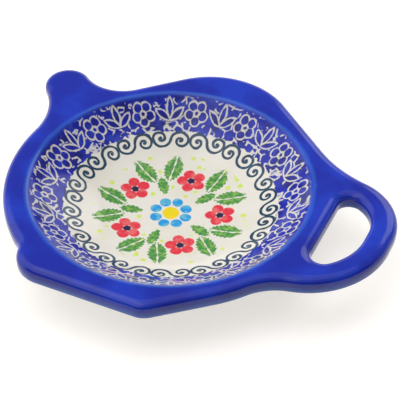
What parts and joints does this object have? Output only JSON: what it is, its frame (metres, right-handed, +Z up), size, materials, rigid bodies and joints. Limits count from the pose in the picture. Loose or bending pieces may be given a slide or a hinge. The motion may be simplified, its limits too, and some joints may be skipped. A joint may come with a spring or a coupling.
{
  "type": "tea bag rest",
  "caption": "Shallow round dish in a flat teapot-shaped rim with a spout nub, a lid dome, a flat base and a looped handle, on a foot ring.",
  "frame": {"origin": "middle of the footprint, on the surface that the foot ring stands on", "axes": "+X along the teapot's length to its handle, +Y to its lid, +Z up out of the dish"},
  "size_m": [0.1317, 0.1094, 0.018],
  "materials": {
    "well_glaze": "warm off-white ground with hand-stamped flowers, leaves and a scrolled border under a clear gloss glaze",
    "wall_glaze": "mottled cobalt band with reserved off-white lines under a clear gloss glaze",
    "rim_glaze": "glossy cobalt glaze that thins lighter over its edges",
    "bare_clay": "bare fired stoneware, matt, warm tan with fine specks"
  },
  "bodies": {
    "root": {"well_floor": "well_glaze", "well_wall": "wall_glaze", "foot_ring": "bare_clay", "belly_spout_side": "rim_glaze", "belly_handle_side": "rim_glaze", "lid_dome": "rim_glaze", "pot_base": "rim_glaze", "spout": "rim_glaze", "handle_loop": "rim_glaze"}
  },
  "joints": []
}
